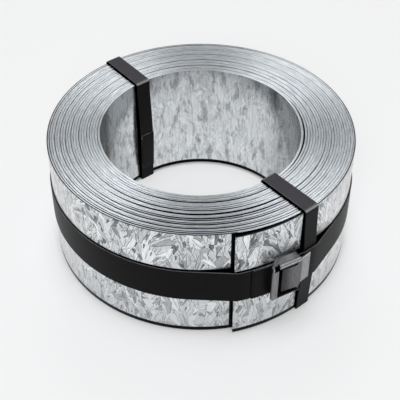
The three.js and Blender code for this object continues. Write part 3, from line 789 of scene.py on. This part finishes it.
def strap_tree():
    """A flat strap carried along the object's own edges, which form a level path."""
    tree, size = geometry_tree("lay a strap along its path", [
        ("Thickness", "Float", STRAP_THICKNESS),
        ("Width", "Float", STRAP_WIDTH),
        ("Edge Radius", "Float", STRAP_EDGE_RADIUS),
        ("Place", "Vector", None),
        ("Turn", "Rotation", None),
        ("Paint", "Material", None),
    ])
    path = node(tree, "GeometryNodeMeshToCurve", {"Mesh": size["Geometry"]}).outputs[0]
    marked = stored(tree, path, "along", node(tree, "GeometryNodeSplineParameter").outputs["Length"])
    strap = swept(tree, marked, flat_section(tree, size["Thickness"], size["Width"], size["Edge Radius"]))
    across = place_on_mesh(tree)[2]
    on_strap = node(tree, "ShaderNodeCombineXYZ", {"X": kept_number(tree, "along"), "Y": across}).outputs[0]
    mapped = stored(tree, strap, "on_strap", on_strap, "FLOAT_VECTOR")
    placed = node(tree, "GeometryNodeTransform",
                  {"Geometry": mapped, "Translation": size["Place"], "Rotation": size["Turn"]}).outputs[0]
    node(tree, "NodeGroupOutput", {0: finished(tree, placed, size["Paint"])})
    return tree


SCRATCH_GRAIN = (60, 2200, 1)  # waves in a metre along the strap and across it
SCRATCH_SPAN = (0.35, 0.75)
BLUER = 1.1  # black paint's blue, as a share of its red
PAINT_ROUGHNESS = (0.30, 0.5)
DUST_AND_SHEEN = (0.036, 0.035, 0.040, 1)
DUST_AND_SHEEN_FROM = 0.85  # height of the surface's direction at which dust and a painted sheen start to lie
BEND_HIGHLIGHT_AT = 0.72  # height of its direction at which the painted highlight on a bend is brightest
BEND_HIGHLIGHT_BY = 0.3
BEND_HIGHLIGHT_TONE = (0.56, 0.56, 0.58, 1)


def black_paint(name, darkest, palest):
    """Baked black paint with a film of wax: satin and finely scratched along the strap, with dust and a
    painted sheen where it faces upwards and a painted highlight along its bends."""
    made, tree = new_material(name)
    on_strap = on_surface(tree, "on_strap", "Vector")
    scratch = noise(tree, vector(tree, "MULTIPLY", on_strap, SCRATCH_GRAIN), detail=5.0, roughness=0.7)
    tones = [(at, (grey, grey, BLUER * grey, 1)) for at, grey in zip(SCRATCH_SPAN, (darkest, palest))]
    tone = toned(tree, scratch, tones)
    facing = parts(tree, node(tree, "ShaderNodeNewGeometry").outputs["Normal"])[2]
    # dust and a painted sheen on faces that point up
    dust_and_sheen = covered(tree, ranged(tree, facing, DUST_AND_SHEEN_FROM, 1.0), tone, DUST_AND_SHEEN)
    # a painted highlight along the bends
    bend_highlight = ranged(tree, distance(tree, facing, BEND_HIGHLIGHT_AT), BEND_HIGHLIGHT_BY, 0.0)
    set_surface(tree, {
        "Base Color": covered(tree, times(tree, bend_highlight, scratch), dust_and_sheen, BEND_HIGHLIGHT_TONE),
        "Roughness": ranged(tree, scratch, 0.0, 1.0, *PAINT_ROUGHNESS),
        "Metallic": 0.0,
        "Specular IOR Level": 0.055,
        "Normal": bumped(tree, scratch, strength=0.1, depth=0.1 * MM)})
    return made


def path_mesh(name, points, closed):
    """The points joined in order by edges, as the path of a strap."""
    edges = [(i, i + 1) for i in range(len(points) - 1)]
    if closed:
        edges.append((len(points) - 1, 0))
    mesh = bpy.data.meshes.new(name)
    mesh.from_pydata([(p[0], p[1], 0) for p in points], edges, [])
    return mesh


def arc(centre, radius, start, end):
    """Points on an arc, in degrees."""
    angles = [math.radians(start + (end - start) * k / ARC_STEPS) for k in range(ARC_STEPS + 1)]
    return [(centre[0] + radius * math.cos(a), centre[1] + radius * math.sin(a)) for a in angles]


def bowed(start, end, bow):
    """Points between start and end on an upright line that bows out sideways by bow at its middle."""
    rise = end[1] - start[1]
    spots = [k / SIDE_STEPS for k in range(1, SIDE_STEPS)]
    return [(start[0] + bow * math.sin(math.pi * t) ** 2, start[1] + rise * t) for t in spots]


OUTER_END_BEARING = INNER_END_BEARING - 360 * TAIL_TURNS


def coil_radius(bearing):
    """Outer radius of the coil at a bearing, with the loose tail where it covers it."""
    from_end = ((bearing - OUTER_END_BEARING) % 360) / 360
    loose = max(0.0, 1 - from_end / TAIL_TURNS)
    return EYE_RADIUS + TURN_PITCH * (TURNS - from_end) + TAIL_SPRING * loose ** TAIL_EASE + STOCK_THICKNESS


def eye_loop(bearing):
    """The strap's middle line round the coil's wall, and that of its lapped end inside the eye: x is the
    radius, y the height."""
    middle = STRAP_THICKNESS / 2
    sag = EYE_RADIUS - math.sqrt(EYE_RADIUS ** 2 - (STRAP_WIDTH / 2) ** 2)
    left = EYE_RADIUS - sag - STAND_OFF - middle
    right = coil_radius(bearing) + STAND_OFF + middle
    top = COIL_MIDDLE + STRIP_WIDTH / 2 + EDGE_WANDER + STAND_OFF + middle
    bottom = middle
    bend = STRAP_BEND + middle
    foot = FOOT_BEND + middle
    outer_side = bowed((right, bottom + foot), (right, top - bend), BOW)
    inner_side = bowed((left, top - bend), (left, bottom + foot), -BOW)
    lap = [(x - STRAP_THICKNESS, y) for x, y in inner_side[LAP_START:-1]]
    loop = (arc((right - foot, bottom + foot), foot, -90, 0) + outer_side
            + arc((right - bend, top - bend), bend, 0, 90) + arc((left + bend, top - bend), bend, 90, 180)
            + inner_side + arc((left + foot, bottom + foot), foot, 180, 270))
    return loop, lap


strap_paint = black_paint("black strapping paint", darkest=0.007, palest=0.014)
lay_strap = strap_tree()
for name, bearing in (("eye_strap_front", FRONT_BEARING), ("eye_strap_back", BACK_BEARING)):
    stand_up = Matrix.Rotation(math.radians(bearing - 90), 3, "Z") @ Matrix.Rotation(math.pi / 2, 3, "X")
    loop, lap = eye_loop(bearing)
    for part, points, closed in (("strap_", loop, True), ("lapped_end_", lap, False)):
        strap = new_piece(part + name, path_mesh(part + name, points, closed))
        plain_mesh(strap, lay_strap, {"Turn": stand_up.to_euler(), "Paint": strap_paint})
        strap.modifiers.new("flat faces stay flat", "WEIGHTED_NORMAL")
        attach(strap, "root")
        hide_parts(name)

# ---- The band round the outside ----
# The same strapping, wider and cleaner. Drawn tight, it takes the shortest way round the coil, the strip's
# outer end and the two narrow straps. Its free end is turned back on it under the buckle.

BAND_THICKNESS = 1.2 * MM
BAND_GAP = 0.3 * MM
FREE_END_BEARING = 17.2
HIDDEN_END_BEARING = 32.2  # under the buckle, where it is turned back
SEAT_STEP = 3  # degrees between the points of the coil that the band may rest on


def hull(points):
    """The corners of the smallest outline round the points, anticlockwise."""
    ordered = sorted((p.x, p.y) for p in points)

    def chain(line):
        kept = []
        for p in line:
            while len(kept) > 1:
                (ax, ay), (bx, by) = kept[-2:]
                if (bx - ax) * (p[1] - ay) - (by - ay) * (p[0] - ax) > 0:
                    break
                kept.pop()
            kept.append(p)
        return kept[:-1]

    return [Vector(p) for p in chain(ordered) + chain(ordered[::-1])]


def moved_out(outline, by):
    """A closed outline with each corner moved out along the mean of its two sides' normals."""
    moved = []
    for i, p in enumerate(outline):
        before, after = p - outline[i - 1], outline[(i + 1) % len(outline)] - p
        n1 = Vector((before.y, -before.x)).normalized()
        n2 = Vector((after.y, -after.x)).normalized()
        mean = (n1 + n2).normalized()
        moved.append(p + mean * (by / mean.dot(n1)))
    return moved


def band_seat():
    """What the band's inner face follows: the smallest outline round the coil and its straps."""
    bearings = [OUTER_END_BEARING + SEAT_STEP * k for k in range(360 // SEAT_STEP)]
    points = [outwards(b) * coil_radius(b) for b in bearings]
    for bearing in (FRONT_BEARING, BACK_BEARING):
        to_edge = sideways(bearing) * STRAP_WIDTH / 2
        top = outwards(bearing) * (coil_radius(bearing) + STAND_OFF + BOW + STRAP_THICKNESS)
        points += [top - to_edge, top + to_edge]
    return moved_out(hull(points), BAND_GAP)


def bearing_of(p):
    return math.degrees(math.atan2(p.x, -p.y))


def point_at(outline, bearing):
    """The point of an outline that lies at a bearing."""
    out = outwards(bearing)
    for i, end in enumerate(outline):
        start = outline[i - 1]
        a, b = out.x * start.y - out.y * start.x, out.x * end.y - out.y * end.x
        if a <= 0 < b and end.dot(out) > 0:
            return start.lerp(end, a / (a - b))


def stretch(outline, first, last):
    """The part of an outline between two bearings."""
    between = sorted((p for p in outline if first < bearing_of(p) < last), key=bearing_of)
    return [point_at(outline, first), *between, point_at(outline, last)]


seat = band_seat()
band_paint = black_paint("black band paint", darkest=0.002, palest=0.006)
band_at = (0, 0, COIL_MIDDLE)
band_sizes = {"Width": BAND_WIDTH, "Thickness": BAND_THICKNESS, "Place": band_at, "Paint": band_paint}
round_coil = moved_out(seat, BAND_THICKNESS / 2)
over_band = moved_out(seat, 1.5 * BAND_THICKNESS)
doubled = stretch(over_band, FREE_END_BEARING, HIDDEN_END_BEARING)
for name, points, closed in (("wide_band", round_coil, True), ("band_free_end", doubled, False)):
    piece = new_piece(name, path_mesh(name, points, closed))
    plain_mesh(piece, lay_strap, band_sizes)
    piece.modifiers.new("flat faces stay flat", "WEIGHTED_NORMAL")
    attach(piece, "root")
    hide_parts("belly_band")

# ---- The buckle ----
# Pressed steel, tumbled until its edges are round. The frame is a channel with a window; the clamp
# plate has its tongue in that window and its lug bent down on the band.

STEEL_GRAIN = (900, 900, 120)  # waves in a metre
STEEL_TONES = ((0.3, (0.20, 0.20, 0.205, 1)), (0.75, (0.42, 0.42, 0.43, 1)))
RECESS_SHADE_DEPTHS = (-2.2 * MM, -0.6 * MM)  # painted shade in the recesses, between these depths from the frame's front
RECESS_SHADE_SHARES = (0.26, 0.72)  # of the steel's full tone, as the shares below
DEEP_DEPTHS = (-3.2 * MM, -1.7 * MM)
DEEP_SHARE = 0.1
LUG_START = 16.8 * MM  # to the side of the buckle's middle
RAIL_TOP = 21.8 * MM  # above the coil's middle, as the heights below
RAIL_TOP_SHARE = 0.5
RAIL_HIGHLIGHT = 21.3 * MM  # a painted highlight along the bent edge of the top rail
RAIL_HIGHLIGHT_SPAN = (1.1 * MM, 0.2 * MM)
RAIL_HIGHLIGHT_SHARE = 1.8
BOTTOM_EDGE = -18.9 * MM
WELD_VERTICES = 0.002 * MM
FLAT_WITHIN = math.radians(1)
TUMBLED_RADIUS = 0.45 * MM
TUMBLED_FACETS = 3
TUMBLED_ABOVE = math.radians(40)


def buckle_steel(front):
    """Bare pressed steel, dulled by tumbling, with painted shade deeper in the frame and over its top rail.
    The lug is left out of that shade; the top rail's bent edge and the bottom edge carry painted
    highlights."""
    made, tree = new_material("buckle steel")
    spot = place_on_object(tree)
    grain = noise(tree, vector(tree, "MULTIPLY", spot, STEEL_GRAIN), detail=5.0, roughness=0.6)
    depth = reach(tree, spot, outwards(BUCKLE_BEARING))
    along = reach(tree, spot, sideways(BUCKLE_BEARING))
    level = calculate(tree, "SUBTRACT", parts(tree, spot)[2], COIL_MIDDLE)
    # painted shade, darker the deeper the steel lies behind the frame's front
    recess_shade = ranged(tree, depth, front + RECESS_SHADE_DEPTHS[0], front + RECESS_SHADE_DEPTHS[1], *RECESS_SHADE_SHARES)
    deep = ranged(tree, depth, front + DEEP_DEPTHS[0], front + DEEP_DEPTHS[1], DEEP_SHARE)
    shade = largest(tree, times(tree, recess_shade, deep), above(tree, along, LUG_START))
    # a painted half shade over the top rail
    shade = covered(tree, above(tree, level, RAIL_TOP), shade, RAIL_TOP_SHARE, "FLOAT")
    # painted highlights along the top rail's bent edge and the bottom edge
    rail_highlight = ranged(tree, distance(tree, level, RAIL_HIGHLIGHT), *RAIL_HIGHLIGHT_SPAN, 0.0, RAIL_HIGHLIGHT_SHARE)
    painted_highlights = largest(tree, rail_highlight, below(tree, level, BOTTOM_EDGE))
    set_surface(tree, {
        "Base Color": scaled(tree, toned(tree, grain, STEEL_TONES), largest(tree, shade, painted_highlights)),
        "Roughness": 0.33,
        "Metallic": 1.0,
        "Normal": bumped(tree, grain, strength=0.2, depth=0.2 * MM)})
    return made


facing_out = outwards(BUCKLE_BEARING).to_3d()
steel = buckle_steel(max(v.co.dot(facing_out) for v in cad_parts["buckle_frame"].data.vertices))
for name in ("buckle_frame", "buckle_plate"):
    pressed = new_piece("pressed_" + name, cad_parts[name].data.copy())
    pressed.data.materials.clear()
    pressed.data.materials.append(steel)
    shape = bmesh.new()
    shape.from_mesh(pressed.data)
    bmesh.ops.remove_doubles(shape, verts=shape.verts, dist=WELD_VERTICES)
    bmesh.ops.dissolve_limit(shape, angle_limit=FLAT_WITHIN, verts=shape.verts, edges=shape.edges)
    for face in shape.faces:
        face.smooth = True
    shape.to_mesh(pressed.data)
    shape.free()
    rounding = pressed.modifiers.new("tumbled edges", "BEVEL")
    rounding.width = TUMBLED_RADIUS
    rounding.segments = TUMBLED_FACETS
    rounding.angle_limit = TUMBLED_ABOVE
    pressed.modifiers.new("flat faces stay flat", "WEIGHTED_NORMAL")
    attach(pressed, "root")
    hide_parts(name)
